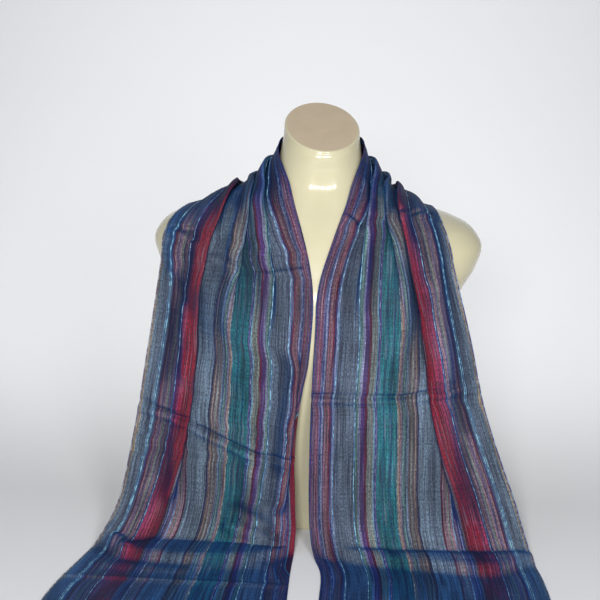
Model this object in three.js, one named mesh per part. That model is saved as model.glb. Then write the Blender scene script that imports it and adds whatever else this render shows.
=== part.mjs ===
// Long striped scarf, folded in half lengthwise and draped round the neck of a limbless dress form.
// Millimetres, +Z up, +Y towards the back. The origin is the middle of the form's flat base.
// Both tails hang down the front and lie on the table ahead of the form.
import * as THREE from 'three';

// Driving sizes of the scarf
const FOLDED_WIDTH = 257;      // the cloth is cut 514 wide and folded once along its length
const HALF_LENGTH = 872;       // from the middle of the nape to one end
const WALL = 2.2;              // both layers of the folded cloth together
const HEM_WALL = 3.0;          // the turned and sewn end
const HEM_LENGTH = 12;
const SEAM_GAP = 0.3;          // between neighbouring stretches
const LIP_BAND = 5;             // strip along the free edge in which the two layers part
const LIP_STEP = 1.5;            // the under layer stops this far short of the upper one
const LIP_NOTCH = 4;           // depth of the slit between the two layers at the free edge
const LIP_MOUTH = 0.35;        // share of each layer's thickness that the slit takes at its mouth
const LAY_CLEARANCE = 1.7;     // from the form to the cloth's under side
const FOLD_TURN = 3.04;        // radians that the cloth turns at each edge of a full pleat
const PLEAT_STRAIGHT = 1.5;    // least length of cloth between a pleat's two turns
const TURN_SHARE = 0.23;       // the wall thins where a pleat turns more tightly than this share allows
const SETTLE = 20;             // width over which the cloth comes down again beside a pleat

// Driving sizes of the dress form
const FORM_SEGMENTS = 36;
const NECK_START = 440;        // level where the neck begins to lean forward
const CAP_CENTRE = new THREE.Vector3(0, 3, 487.5);
const CAP_HALF_WIDTH = 45;
const CAP_HALF_DEPTH = 58;
const CAP_TILT = 0.417;        // radians, the cut neck faces up and forward
const CAP_TURN = 0.11;         // radians, the neck is turned a little to its left
const EDGE_ROUND = 2.5;        // at the base and round the cap
const DRAPE_LEVEL = 248;       // below the fullest part of the chest the cloth hangs free

// Level sections of the form: height, half width, depth to the front and to the back, squareness
const FORM_COLUMNS = ['z', 'half', 'front', 'back', 'square'];
const FORM_ROWS = [
  [0, 132, 77, 74, 2.3],
  [60, 136, 83, 78, 2.3],
  [130, 145, 96, 84, 2.3],
  [200, 156, 110, 90, 2.3],
  [250, 164, 116, 94, 2.35],
  [300, 177, 108, 96, 2.5],
  [330, 193, 97, 94, 2.6],
  [352, 199, 88, 90, 2.6],
  [372, 188, 79, 85, 2.4],
  [388, 158, 70, 79, 2.1],
  [400, 108, 62, 73, 2.0],
  [412, 72, 55, 67, 2.0],
  [426, 56, 50, 62, 2.0],
  [445, 50, 49, 58, 2.0],
  [462, 49, 51, 58, 2.0],
  [485, 47, 52, 58, 2.0],
  [520, 46, 52, 58, 2.0],
];

// Sections across the scarf, from the left end over the nape to the right end.
// v is the place along the cloth. The inner point is on the fold, the outer one on the free edge,
// and height 0 means that the cloth lies on the table.
// roll, inside, middle and deep are the widths of cloth hidden in each pleat there.
// radius is how tightly the pleats turn, and sag is how far the section sinks between its edges
// before it rests on the form.
const SCARF_COLUMNS = ['v', 'innerX', 'innerY', 'innerZ', 'outerX', 'outerY', 'outerZ',
  'roll', 'inside', 'middle', 'deep', 'radius', 'sag'];
const SCARF_ROWS = [
  [-872, -30, -392, 0, -287, -392, 0, 0, 0, 0, 0, 2.2, 0],
  [-740, -25, -262, 0, -288, -262, 0, 0, 0, 0, 0, 2.2, 0],
  [-655, -21, -178, 0, -266, -176, 0, 0, 0, 0, 0, 2.2, 0],
  [-615, -18, -142, 6, -252, -134, 6, 0, 0, 0, 0, 2.2, 0],
  [-585, -17, -130, 32, -236, -110, 32, 0, 0, 0, 0, 2.2, 0],
  [-572, -18, -129, 44, -231, -105, 45, 0, 0, 0, 0, 2.2, 0],
  [-550, -19, -128, 64, -225, -99, 68, 8, 0, 0, 8, 2.2, 0],
  [-500, -21, -126, 112, -216, -90, 118, 16, 0, 0, 24, 2.2, 0],
  [-440, -18, -123, 170, -206, -78, 180, 18, 0, 0, 34, 2.2, 0],
  [-412, -14, -121, 198, -203, -72, 208, 14, 0, 0, 34, 2.2, 0],
  [-385, -9, -118, 225, -199, -66, 236, 9, 0, 0, 32, 2.2, 0],
  [-360, -7, -115, 250, -195, -62, 262, 0, 0, 0, 33, 2.2, 0],
  [-345, -6, -112, 266, -193, -59, 278, 0, 2, 2, 34, 2.0, 0],
  [-320, -5, -107, 292, -190, -55, 304, 0, 4, 5, 33, 2.0, 0],
  [-290, -7, -101, 321, -186, -51, 331, 0, 6, 15, 30, 2.0, 0],
  [-262, -12, -91, 347, -182, -44, 352, 0, 8, 28, 30, 2.0, 0],
  [-230, -21, -77, 378, -177, -30, 371, 0, 18, 40, 38, 2.0, 0],
  [-195, -30, -59.5, 405, -169, -10, 385, 0, 25, 48, 46, 2.0, 8],
  [-160, -38, -37.5, 431, -155, 20, 388, 0, 30, 50, 50, 2.0, 14],
  [-125, -45, -12, 456, -134, 56, 366, 0, 28, 40, 46, 2.0, 10],
  [-85, -48, 20, 472, -97, 90, 336, 0, 24, 32, 40, 2.0, 0],
  [-45, -33, 51, 468, -50, 107, 318, 0, 22, 26, 36, 2.0, 0],
  [0, 0, 63, 465, 0, 110, 312, 0, 22, 24, 36, 2.0, 0],
  [45, 33, 51, 469, 48, 106, 319, 0, 22, 26, 38, 2.0, 0],
  [85, 48, 20, 475, 92, 90, 338, 0, 26, 32, 44, 2.0, 0],
  [125, 46, -12, 462, 124, 58, 366, 0, 34, 38, 48, 2.0, 10],
  [160, 38, -36, 433, 136, 18, 386, 0, 38, 42, 60, 2.0, 14],
  [195, 31, -56, 407, 137, -14, 389, 0, 32, 41, 62, 2.0, 8],
  [230, 21, -74, 381, 143, -42, 378, 0, 22, 34, 66, 2.0, 0],
  [262, 11, -90, 353, 151, -62, 359, 0, 10, 18, 68, 2.0, 0],
  [290, 3, -102, 327, 160, -73, 331, 0, 5, 10, 70, 2.0, 0],
  [320, -1, -108, 298, 169, -77, 302, 0, 3, 4, 67, 2.0, 0],
  [345, -1, -113, 274, 176, -80, 278, 0, 1, 1, 63, 2.0, 0],
  [385, -2, -119, 236, 187, -84, 238, 0, 0, 0, 56, 2.2, 0],
  [435, -3, -123, 188, 198, -90, 188, 0, 0, 0, 46, 2.2, 0],
  [500, -3, -127, 123, 220, -102, 123, 0, 0, 0, 28, 2.2, 0],
  [555, -2, -131, 68, 242, -114, 68, 0, 0, 0, 8, 2.2, 0],
  [600, 1, -137, 24, 257, -126, 24, 0, 0, 0, 0, 2.2, 0],
  [625, 5, -151, 6, 263, -143, 6, 0, 0, 0, 0, 2.2, 0],
  [655, 12, -178, 0, 267, -174, 0, 0, 0, 0, 0, 2.2, 0],
  [740, 11, -262, 0, 268, -262, 0, 0, 0, 0, 0, 2.2, 0],
  [872, 8, -392, 0, 265, -392, 0, 0, 0, 0, 0, 2.2, 0],
];

// Where each pleat sits across the folded cloth, from the fold
const PLEAT_PLACES = { roll: 14, inside: 50, middle: 106, deep: 177 };

// Where the cloth reaches the table it buckles into a low tread, which ends in a step.
// across runs from the fold (0) to the free edge (1), y is the place of the step there.
const TREAD_HEIGHT = 12;
const STEP_WIDTH = 12;
const STEP_COLUMNS = ['across', 'left', 'right'];
const STEP_ROWS = [
  [0, -150, -147],
  [0.2, -181, -170],
  [0.5, -186, -181],
  [0.75, -178, -189],
  [1, -140, -160],
];

const COLOURS = {
  form: 0xd9d2b8, shoulder: 0x58557c, nape: 0x3e4a70, fall: 0x4d5f80, end: 0x2c4a78, hem: 0x26406a,
};

// The stretches that show, in order along the cloth.
// Each stop is a number of steps and the place along the cloth that they lead to.
const UPPER = ['inside', 'middle', 'deep'];
const STRETCHES = [
  { name: 'scarf_left_end', from: -860, stops: [[4, -676], [10, -585]], pleats: [], kind: 'end' },
  { name: 'scarf_left_fall', from: -585, stops: [[14, -345]], pleats: ['roll', 'deep'], kind: 'fall' },
  { name: 'scarf_left_shoulder', from: -345, stops: [[20, -70]], pleats: UPPER, kind: 'shoulder' },
  { name: 'scarf_nape', from: -70, stops: [[9, 70]], pleats: UPPER, kind: 'nape' },
  { name: 'scarf_right_shoulder', from: 70, stops: [[20, 345]], pleats: UPPER, kind: 'shoulder' },
  { name: 'scarf_right_fall', from: 345, stops: [[13, 585]], pleats: ['deep'], kind: 'fall' },
  { name: 'scarf_right_end', from: 585, stops: [[10, 676], [4, 860]], pleats: [], kind: 'end' },
];

// Turns rows of numbers into named columns
function table(columns, rows) {
  const result = {};
  columns.forEach((name, i) => { result[name] = rows.map((row) => row[i]); });
  return result;
}

const FORM = table(FORM_COLUMNS, FORM_ROWS);
const SCARF = table(SCARF_COLUMNS, SCARF_ROWS);
const STEP = table(STEP_COLUMNS, STEP_ROWS);

// Smooth curve through the points (xs, ys). Unless it is free, it never overshoots between them.
function curveAt(xs, ys, x, free = false) {
  const last = xs.length - 1;
  const at = Math.min(Math.max(x, xs[0]), xs[last]);
  const chord = (i) => (ys[i + 1] - ys[i]) / (xs[i + 1] - xs[i]);
  const slope = (i) => {
    if (i === 0) return chord(0);
    if (i === last) return chord(last - 1);
    const before = chord(i - 1);
    const after = chord(i);
    const left = xs[i] - xs[i - 1];
    const right = xs[i + 1] - xs[i];
    if (free) return (before * right + after * left) / (left + right);
    if (before * after <= 0) return 0;
    const a = 2 * right + left;
    const b = right + 2 * left;
    return (a + b) / (a / before + b / after);
  };
  let i = 0;
  while (i < last - 1 && xs[i + 1] <= at) i += 1;
  const h = xs[i + 1] - xs[i];
  const t = (at - xs[i]) / h;
  const t2 = t * t;
  const t3 = t2 * t;
  return (2 * t3 - 3 * t2 + 1) * ys[i] + (t3 - 2 * t2 + t) * h * slope(i)
    + (3 * t2 - 2 * t3) * ys[i + 1] + (t3 - t2) * h * slope(i + 1);
}

function smooth(t) {
  const c = Math.min(Math.max(t, 0), 1);
  return c * c * (3 - 2 * c);
}

function formSection(z) {
  return {
    half: curveAt(FORM.z, FORM.half, z),
    front: curveAt(FORM.z, FORM.front, z),
    back: curveAt(FORM.z, FORM.back, z),
    square: curveAt(FORM.z, FORM.square, z),
  };
}

// Above zero outside the form, below zero inside it.
// Below the chest the form counts as no slimmer than the chest, because cloth hangs straight there.
function outsideForm(p) {
  const s = formSection(Math.max(p.z, DRAPE_LEVEL));
  const depth = p.y < 0 ? s.front : s.back;
  const sum = (Math.abs(p.x) / s.half) ** s.square + (Math.abs(p.y) / depth) ** s.square;
  return sum ** (1 / s.square) - 1;
}

// Moves a point straight away from the form until it clears it
function pushClear(point, clearance) {
  const probe = 0.5;
  const passes = 6;
  const longest = 12;
  const p = point.clone();
  for (let pass = 0; pass < passes; pass += 1) {
    const gradient = new THREE.Vector3(...['x', 'y', 'z'].map((axis) => {
      const ahead = p.clone();
      const behind = p.clone();
      ahead[axis] += probe;
      behind[axis] -= probe;
      return (outsideForm(ahead) - outsideForm(behind)) / (2 * probe);
    }));
    const steepness = gradient.length();
    const distance = outsideForm(p) / steepness;
    const missing = Math.min(Math.max(clearance - distance, 0), longest);
    p.addScaledVector(gradient, missing / steepness);
  }
  return p;
}

// One ring of the form, tilted and turned about its own centre
function formRing(section, centre, tilt, turn) {
  const ring = [];
  for (let i = 0; i < FORM_SEGMENTS; i += 1) {
    const angle = (2 * Math.PI * i) / FORM_SEGMENTS;
    const c = Math.cos(angle);
    const s = Math.sin(angle);
    const power = 2 / section.square;
    const p = new THREE.Vector3(
      section.half * Math.sign(c) * Math.abs(c) ** power,
      (s < 0 ? section.front : section.back) * Math.sign(s) * Math.abs(s) ** power,
      0,
    );
    p.applyAxisAngle(new THREE.Vector3(1, 0, 0), tilt);
    p.applyAxisAngle(new THREE.Vector3(0, 0, 1), turn);
    ring.push(p.add(centre));
  }
  return ring;
}

function shrunk(section, by) {
  return { ...section, half: section.half - by, front: section.front - by, back: section.back - by };
}

// The form's rings, from the base up to the cut neck
function formRings() {
  const rings = [];
  const levels = [EDGE_ROUND, 30, 60, 95, 130, 165, 200, 225, 250, 275, 300, 317, 332, 345, 357, 367, 376,
    384, 391, 398, 406, 415, 426, NECK_START];
  const level = (z) => new THREE.Vector3(0, 0, z);
  rings.push(formRing(shrunk(formSection(0), EDGE_ROUND), level(0), 0, 0));
  levels.forEach((z) => rings.push(formRing(formSection(z), level(z), 0, 0)));
  const start = formSection(NECK_START);
  const neckSteps = 4;
  for (let i = 1; i <= neckSteps; i += 1) {
    const t = i / neckSteps;
    const mix = (a, b) => a + (b - a) * smooth(t);
    const section = {
      half: mix(start.half, CAP_HALF_WIDTH),
      front: mix(start.front, CAP_HALF_DEPTH),
      back: mix(start.back, CAP_HALF_DEPTH),
      square: 2,
    };
    const centre = level(NECK_START).lerp(CAP_CENTRE, t);
    rings.push(formRing(section, centre, CAP_TILT * t, CAP_TURN * t));
  }
  const cap = { half: CAP_HALF_WIDTH, front: CAP_HALF_DEPTH, back: CAP_HALF_DEPTH, square: 2 };
  const lift = new THREE.Vector3(0, 0, EDGE_ROUND).applyAxisAngle(new THREE.Vector3(1, 0, 0), CAP_TILT);
  rings.push(formRing(shrunk(cap, EDGE_ROUND), CAP_CENTRE.clone().add(lift), CAP_TILT, CAP_TURN));
  return rings;
}

// Collects vertices and triangles, then makes the geometry
class Skin {
  constructor() {
    this.points = [];
    this.faces = [];
  }

  add(p) {
    this.points.push(p.x, p.y, p.z);
    return this.points.length / 3 - 1;
  }

  distance(a, b) {
    const [x, y, z] = [0, 1, 2].map((axis) => this.points[3 * a + axis] - this.points[3 * b + axis]);
    return Math.hypot(x, y, z);
  }

  triangle(a, b, c) {
    this.faces.push(a, b, c);
  }

  quad(a, b, c, d) {
    this.triangle(a, b, c);
    this.triangle(a, c, d);
  }

  geometry() {
    const result = new THREE.BufferGeometry();
    result.setAttribute('position', new THREE.Float32BufferAttribute(this.points, 3));
    result.setIndex(this.faces);
    result.computeVertexNormals();
    return result;
  }
}

function formGeometry() {
  const skin = new Skin();
  const rings = formRings().map((ring) => ring.map((p) => skin.add(p)));
  const n = FORM_SEGMENTS;
  for (let r = 0; r + 1 < rings.length; r += 1) {
    for (let i = 0; i < n; i += 1) {
      const j = (i + 1) % n;
      skin.quad(rings[r][i], rings[r][j], rings[r + 1][j], rings[r + 1][i]);
    }
  }
  const bottom = rings[0];
  const top = rings[rings.length - 1];
  for (let i = 1; i + 1 < n; i += 1) {
    skin.triangle(bottom[0], bottom[i + 1], bottom[i]);
    skin.triangle(top[0], top[i], top[i + 1]);
  }
  return skin.geometry();
}

function scarfSection(v) {
  const section = {};
  SCARF_COLUMNS.slice(1).forEach((name) => {
    const isPlace = name.startsWith('inner') || name.startsWith('outer');
    section[name] = curveAt(SCARF.v, SCARF[name], v, isPlace);
  });
  return section;
}

// How a pleat is laid that hides this much cloth: the turn at its edges and the straight part between
function pleatShape(hidden, radius) {
  const bend = radius * FOLD_TURN;
  const noTurn = 1e-4;
  const lostInBends = (turn) => (turn < noTurn ? 0 : 2 * bend * (1 - Math.sin(turn) / turn));
  const lost = (turn) => lostInBends(turn) + PLEAT_STRAIGHT * (1 - Math.cos(turn));
  if (hidden >= lost(FOLD_TURN)) {
    const straight = (hidden - lostInBends(FOLD_TURN)) / (1 - Math.cos(FOLD_TURN));
    return { turn: FOLD_TURN, bend, straight };
  }
  let low = 0;
  let high = FOLD_TURN;
  const halvings = 20;
  for (let i = 0; i < halvings; i += 1) {
    const middle = (low + high) / 2;
    if (lost(middle) < hidden) low = middle;
    else high = middle;
  }
  return { turn: low, bend, straight: PLEAT_STRAIGHT };
}

// The path across the cloth as pieces of constant bending: flat, turning out, straight back, turning in
function crossPieces(section, pleats) {
  const flatStep = 17;
  const turnSteps = 3;
  const pieces = [];
  let at = 0;
  pleats.forEach((name) => {
    const shape = pleatShape(section[name], section.radius);
    const reach = shape.straight / 2 + shape.bend;
    const start = PLEAT_PLACES[name] - reach;
    pieces.push({ length: start - at, turn: 0 });
    pieces.push({ length: shape.bend, turn: shape.turn, steps: turnSteps, pleat: 'starts' });
    pieces.push({ length: shape.straight, turn: 0, steps: 1 });
    pieces.push({ length: shape.bend, turn: -shape.turn, steps: turnSteps, pleat: 'ends' });
    at = PLEAT_PLACES[name] + reach;
  });
  pieces.push({ length: FOLDED_WIDTH - LIP_BAND - at, turn: 0 });
  const between = [0, ...pleats.map((name) => PLEAT_PLACES[name]), FOLDED_WIDTH - LIP_BAND];
  let gap = 0;
  pieces.forEach((piece) => {
    if (piece.steps) return;
    piece.steps = Math.max(1, Math.round((between[gap + 1] - between[gap]) / flatStep) - 1);
    gap += 1;
  });
  pieces.push({ length: LIP_BAND, turn: 0, steps: 1 });
  return pieces;
}

// Follows those pieces: cloth is the place on the cloth, along and high the place over the ground line.
// Past the layers of a pleat the cloth comes down again to the ground line.
function crossPath(section, pleats) {
  const noTurn = 1e-6;
  const path = [{ cloth: 0, along: 0, high: 0 }];
  const rises = [];
  let angle = 0;
  let here = path[0];
  let pleat = null;
  crossPieces(section, pleats).forEach((piece) => {
    if (piece.pleat === 'starts') pleat = { low: here.high, past: here.along };
    for (let i = 0; i < piece.steps; i += 1) {
      const length = piece.length / piece.steps;
      const turn = piece.turn / piece.steps;
      const chord = Math.abs(turn) < noTurn ? length : (2 * Math.sin(turn / 2) * length) / turn;
      const heading = angle + turn / 2;
      here = {
        cloth: here.cloth + length,
        along: here.along + chord * Math.cos(heading),
        high: here.high + chord * Math.sin(heading),
      };
      path.push(here);
      angle += turn;
      if (pleat) pleat.past = Math.max(pleat.past, here.along);
    }
    if (piece.pleat === 'ends') {
      rises.push({ past: pleat.past, rise: here.high - pleat.low });
      pleat = null;
    }
  });
  rises.forEach(({ past, rise }) => {
    path.forEach((p) => { p.high -= rise * smooth((p.along - past) / SETTLE); });
  });
  return path;
}

// The line that the cloth lies on at one section: from fold to free edge, sagging, held off the form
function groundLine(section) {
  const count = 24;
  const smoothings = 5;
  const inner = new THREE.Vector3(section.innerX, section.innerY, section.innerZ);
  const outer = new THREE.Vector3(section.outerX, section.outerY, section.outerZ);
  let line = [];
  for (let i = 0; i <= count; i += 1) {
    const t = i / count;
    const point = inner.clone().lerp(outer, t);
    point.z -= section.sag * 4 * t * (1 - t);
    line.push(point);
  }
  const clear = (p) => (p.z > TREAD_HEIGHT ? pushClear(p, LAY_CLEARANCE + WALL / 2) : p);
  line = line.map(clear);
  for (let pass = 0; pass < smoothings; pass += 1) {
    line = line.map((p, i) => {
      if (i === 0 || i === count) return p;
      return p.clone().multiplyScalar(2).add(line[i - 1]).add(line[i + 1]).divideScalar(4);
    });
  }
  line = line.map(clear);
  const reach = [0];
  for (let i = 1; i <= count; i += 1) reach.push(reach[i - 1] + line[i].distanceTo(line[i - 1]));
  return { line, reach };
}

function onLine({ line, reach }, share) {
  const target = share * reach[reach.length - 1];
  let i = 0;
  while (i < reach.length - 2 && reach[i + 1] < target) i += 1;
  const t = (target - reach[i]) / (reach[i + 1] - reach[i]);
  return line[i].clone().lerp(line[i + 1], t);
}

// The tread on the table ahead of the form
function treadLift(p, across, v) {
  const edge = curveAt(STEP.across, v < 0 ? STEP.left : STEP.right, across);
  return TREAD_HEIGHT * smooth((p.y - edge) / STEP_WIDTH);
}

// Middle points of one rib and the ground line below them
function rib(v, pleats) {
  const section = scarfSection(v);
  const path = crossPath(section, pleats);
  const ground = groundLine(section);
  const width = path[path.length - 1].along;
  const probe = 0.02;
  return path.map((p) => {
    const share = p.along / width;
    const ahead = onLine(ground, share + probe);
    const behind = onLine(ground, share - probe);
    const point = onLine(ground, share);
    if (point.z < TREAD_HEIGHT * 2) {
      const tread = WALL / 2 + treadLift(point, p.cloth / FOLDED_WIDTH, v);
      point.z = Math.max(point.z, tread);
    }
    return { point, tangent: ahead.sub(behind).normalize(), high: p.high };
  });
}

// One rib of the cloth, with its pleats raised off the ground line
function clothRib(v, pleats) {
  const nudge = 1.5;
  const middle = (points) => points.reduce((sum, p) => sum.add(p.point), new THREE.Vector3());
  const forward = middle(rib(v + nudge, pleats)).sub(middle(rib(v - nudge, pleats)));
  return rib(v, pleats).map((p) => {
    const out = forward.clone().cross(p.tangent).normalize();
    return p.point.clone().addScaledVector(out, p.high);
  });
}

// The places along the cloth at which a stretch has its ribs
function stations(from, stops) {
  const places = [from];
  stops.forEach(([steps, to]) => {
    const start = places[places.length - 1];
    for (let i = 1; i <= steps; i += 1) places.push(start + ((to - start) * i) / steps);
  });
  return places;
}

// The ribs of one stretch, each with the direction square to the cloth at its points.
// The first and last rib are cut square and stand back from the seam there.
function stretchRibs(from, stops, pleats) {
  const nudge = 4;
  const places = stations(from, stops);
  return places.map((v, i) => {
    const before = clothRib(v - nudge, pleats);
    const after = clothRib(v + nudge, pleats);
    const points = clothRib(v, pleats);
    const last = points.length - 1;
    const normals = points.map((p, j) => {
      const across = new THREE.Vector3();
      if (j < last) across.add(points[j + 1].clone().sub(p).normalize());
      if (j > 0) across.add(p.clone().sub(points[j - 1]).normalize());
      return after[j].clone().sub(before[j]).cross(across).normalize();
    });
    if (i === 0 || i === places.length - 1) {
      const chord = points[last].clone().sub(points[0]);
      const out = normals.reduce((sum, n) => sum.add(n), new THREE.Vector3());
      const square = chord.cross(out).normalize();
      const back = i === 0 ? SEAM_GAP / 2 : -SEAM_GAP / 2;
      normals.forEach((n) => n.addScaledVector(square, -n.dot(square)).normalize());
      points.forEach((p) => p.addScaledVector(square, back));
    }
    return { points, normals };
  });
}

// A closed wall over the grid: round at the fold, two stepped lips with a slit at the free edge
function wallGeometry(ribs, wall) {
  const skin = new Skin();
  const half = wall / 2;
  const last = ribs[0].points.length - 1;
  const loops = ribs.map(({ points, normals }) => {
    const at = (j, out, along) => {
      const side = points[Math.min(j + 1, last)].clone().sub(points[Math.max(j - 1, 0)]).normalize();
      return skin.add(points[j].clone().addScaledVector(normals[j], out).addScaledVector(side, along));
    };
    const thin = (j) => {
      if (j === 0 || j === last) return half;
      return Math.min(half, TURN_SHARE * points[j + 1].distanceTo(points[j - 1]));
    };
    const upper = points.map((_, j) => at(j, thin(j), 0));
    const lower = points.map((_, j) => at(j, -thin(j), j === last ? -LIP_STEP : 0));
    return {
      upper,
      lower,
      fold: at(0, 0, -half),
      upperLip: at(last, half * LIP_MOUTH, 0),
      slit: at(last, 0, -LIP_NOTCH),
      lowerLip: at(last, -half * LIP_MOUTH, -LIP_STEP),
    };
  });
  // One cell of the grid, cut along its shorter diagonal so that narrow pleats stay round
  const cell = (p, q, r, t) => {
    if (skin.distance(p, r) > skin.distance(q, t)) skin.quad(q, r, t, p);
    else skin.quad(p, q, r, t);
  };
  for (let i = 0; i + 1 < loops.length; i += 1) {
    const a = loops[i];
    const b = loops[i + 1];
    for (let j = 0; j < last; j += 1) {
      cell(a.upper[j], b.upper[j], b.upper[j + 1], a.upper[j + 1]);
      cell(a.lower[j], a.lower[j + 1], b.lower[j + 1], b.lower[j]);
    }
    cell(a.slit, a.upperLip, b.upperLip, b.slit);
    cell(a.slit, b.slit, b.lowerLip, a.lowerLip);
    skin.quad(a.upper[last], b.upper[last], b.upperLip, a.upperLip);
    skin.quad(a.lowerLip, b.lowerLip, b.lower[last], a.lower[last]);
    skin.quad(a.fold, b.fold, b.upper[0], a.upper[0]);
    skin.quad(a.lower[0], b.lower[0], b.fold, a.fold);
  }
  const close = (loop, flip) => {
    const face = (a, b, c) => (flip ? skin.triangle(a, c, b) : skin.triangle(a, b, c));
    face(loop.fold, loop.upper[0], loop.lower[0]);
    for (let j = 0; j + 1 < last; j += 1) {
      face(loop.upper[j], loop.upper[j + 1], loop.lower[j + 1]);
      face(loop.upper[j], loop.lower[j + 1], loop.lower[j]);
    }
    const j = last - 1;
    face(loop.upper[j], loop.slit, loop.lower[j]);
    face(loop.upper[j], loop.upper[last], loop.slit);
    face(loop.upper[last], loop.upperLip, loop.slit);
    face(loop.lower[j], loop.slit, loop.lower[last]);
    face(loop.slit, loop.lowerLip, loop.lower[last]);
  };
  close(loops[0], false);
  close(loops[loops.length - 1], true);
  return skin.geometry();
}

function cloth(colour) {
  return new THREE.MeshStandardMaterial({ color: colour, roughness: 0.85, metalness: 0 });
}

function clothMesh(name, geometry, colour) {
  const mesh = new THREE.Mesh(geometry, cloth(colour));
  mesh.name = name;
  return mesh;
}

function hemMesh(name, side) {
  const start = side * (HALF_LENGTH - HEM_LENGTH);
  const end = side * HALF_LENGTH;
  const steps = 2;
  const ribs = stretchRibs(Math.min(start, end), [[steps, Math.max(start, end)]], []);
  const lift = (HEM_WALL - WALL) / 2;
  ribs.forEach(({ points }) => points.forEach((p) => { p.z += lift; }));
  return clothMesh(name, wallGeometry(ribs, HEM_WALL), COLOURS.hem);
}

const group = new THREE.Group();
group.name = 'striped_scarf_on_dress_form';

const formMesh = new THREE.Mesh(
  formGeometry(),
  new THREE.MeshStandardMaterial({ color: COLOURS.form, roughness: 0.25, metalness: 0 }),
);
formMesh.name = 'display_form';
group.add(formMesh);

STRETCHES.forEach(({ name, from, stops, pleats, kind }) => {
  const ribs = stretchRibs(from, stops, pleats);
  group.add(clothMesh(name, wallGeometry(ribs, WALL), COLOURS[kind]));
});

group.add(hemMesh('scarf_left_hem', -1));
group.add(hemMesh('scarf_right_hem', 1));

export default group;
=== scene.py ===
# %% [markdown]
# # A striped scarf on a dress form
# The scarf is one long handwoven cloth, folded once along its length, laid round the back of the neck
# and left to fall down the front until both tails lie on the table. The form under it is a glossy
# moulded torso without limbs. This lesson builds both around a fixed frame of plain solids: the frame
# says where everything is, and the steps below give each thing its real surface.

# %% Start from the fixed frame
import math

import bpy
import numpy as np
from mathutils import Matrix


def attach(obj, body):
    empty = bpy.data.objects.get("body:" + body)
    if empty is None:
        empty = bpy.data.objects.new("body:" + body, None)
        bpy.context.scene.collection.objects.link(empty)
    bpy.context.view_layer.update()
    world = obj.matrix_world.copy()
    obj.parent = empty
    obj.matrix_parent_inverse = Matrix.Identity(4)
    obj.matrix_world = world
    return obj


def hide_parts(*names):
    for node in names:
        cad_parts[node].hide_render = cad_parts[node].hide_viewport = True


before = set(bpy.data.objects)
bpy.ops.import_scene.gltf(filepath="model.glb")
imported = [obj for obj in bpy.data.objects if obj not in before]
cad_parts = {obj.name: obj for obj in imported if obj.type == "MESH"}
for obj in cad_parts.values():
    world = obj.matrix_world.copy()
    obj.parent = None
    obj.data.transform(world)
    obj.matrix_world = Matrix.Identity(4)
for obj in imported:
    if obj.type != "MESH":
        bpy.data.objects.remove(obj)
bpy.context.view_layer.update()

# %% [markdown]
# All lengths below are in millimetres, because a tailor thinks in them. Blender works in metres, so
# every mesh is scaled once, when it is made. The random numbers come from one seeded generator, so
# the scene is the same each time.

# %% Units and random numbers
MM = 0.001
rng = np.random.default_rng(27)


def smooth(t):
    """A soft step from 0 to 1."""
    c = np.clip(t, 0.0, 1.0)
    return c * c * (3 - 2 * c)


def unit(vectors):
    """The same directions, one unit long."""
    length = np.linalg.norm(vectors, axis=-1, keepdims=True)
    return vectors / np.maximum(length, 1e-9)


def curve_at(xs, ys, x, free=False):
    """Smooth curve through the points (xs, ys). Unless it is free, it never overshoots between them."""
    xs = np.asarray(xs, float)
    ys = np.asarray(ys, float)
    chord = np.diff(ys) / np.diff(xs)
    left = np.diff(xs)[:-1]
    right = np.diff(xs)[1:]
    before = chord[:-1]
    after = chord[1:]
    if free:
        inner = (before * right + after * left) / (left + right)
    else:
        a = 2 * right + left
        b = right + 2 * left
        same_way = before * after > 0
        safe_before = np.where(same_way, before, 1.0)
        safe_after = np.where(same_way, after, 1.0)
        inner = np.where(same_way, (a + b) / (a / safe_before + b / safe_after), 0.0)
    slope = np.concatenate([chord[:1], inner, chord[-1:]])
    at = np.clip(x, xs[0], xs[-1])
    i = np.clip(np.searchsorted(xs, at, side="right") - 1, 0, len(xs) - 2)
    h = xs[i + 1] - xs[i]
    t = (at - xs[i]) / h
    start = (2 * t**3 - 3 * t**2 + 1) * ys[i] + (t**3 - 2 * t**2 + t) * h * slope[i]
    end = (3 * t**2 - 2 * t**3) * ys[i + 1] + (t**3 - t**2) * h * slope[i + 1]
    return start + end


# %% [markdown]
# The camera looks slightly down at the form from a little above its neck, as a photographer standing
# in front of a table does. A long lens keeps the tails on the table from growing too large. Its axes
# are written out as three directions, because a small roll is easier to state that way than in angles.

# %% Camera
EYE = np.array([-20.0, -1440.0, 660.0])
LOOK_DOWN = math.radians(15.0)
ROLL = math.radians(1.8)
LENS = 72.0


def make_camera():
    """The camera at the viewing angle of the picture."""
    data = bpy.data.cameras.new("camera")
    data.lens = LENS
    data.sensor_width = 36.0
    camera = bpy.data.objects.new("camera", data)
    right = np.array([1.0, 0.0, 0.0])
    up = np.array([0.0, math.sin(LOOK_DOWN), math.cos(LOOK_DOWN)])
    ahead = np.array([0.0, math.cos(LOOK_DOWN), -math.sin(LOOK_DOWN)])
    c, s = math.cos(ROLL), math.sin(ROLL)
    axes = np.array([right * c + up * s, up * c - right * s, -ahead]).T
    camera.matrix_world = Matrix.Translation(EYE * MM) @ Matrix(axes.tolist()).to_4x4()
    bpy.context.scene.collection.objects.link(camera)
    bpy.context.scene.camera = camera


make_camera()
print("camera stands", round(-EYE[1] * MM, 2), "m in front of the form")

# %% [markdown]
# The light is that of a simple product picture: one strong soft light just left of the camera and a
# second one to its right, a weak one above, one that brightens the wall, and a dim pale room. The
# floor is a pale sheet that curves up far behind the form, so that the back can be looked at too. The
# standard view keeps the cloth's colours deep, where a filmic one would wash them out.

# %% Light and floor
bpy.context.scene.view_settings.view_transform = "Standard"


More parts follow.
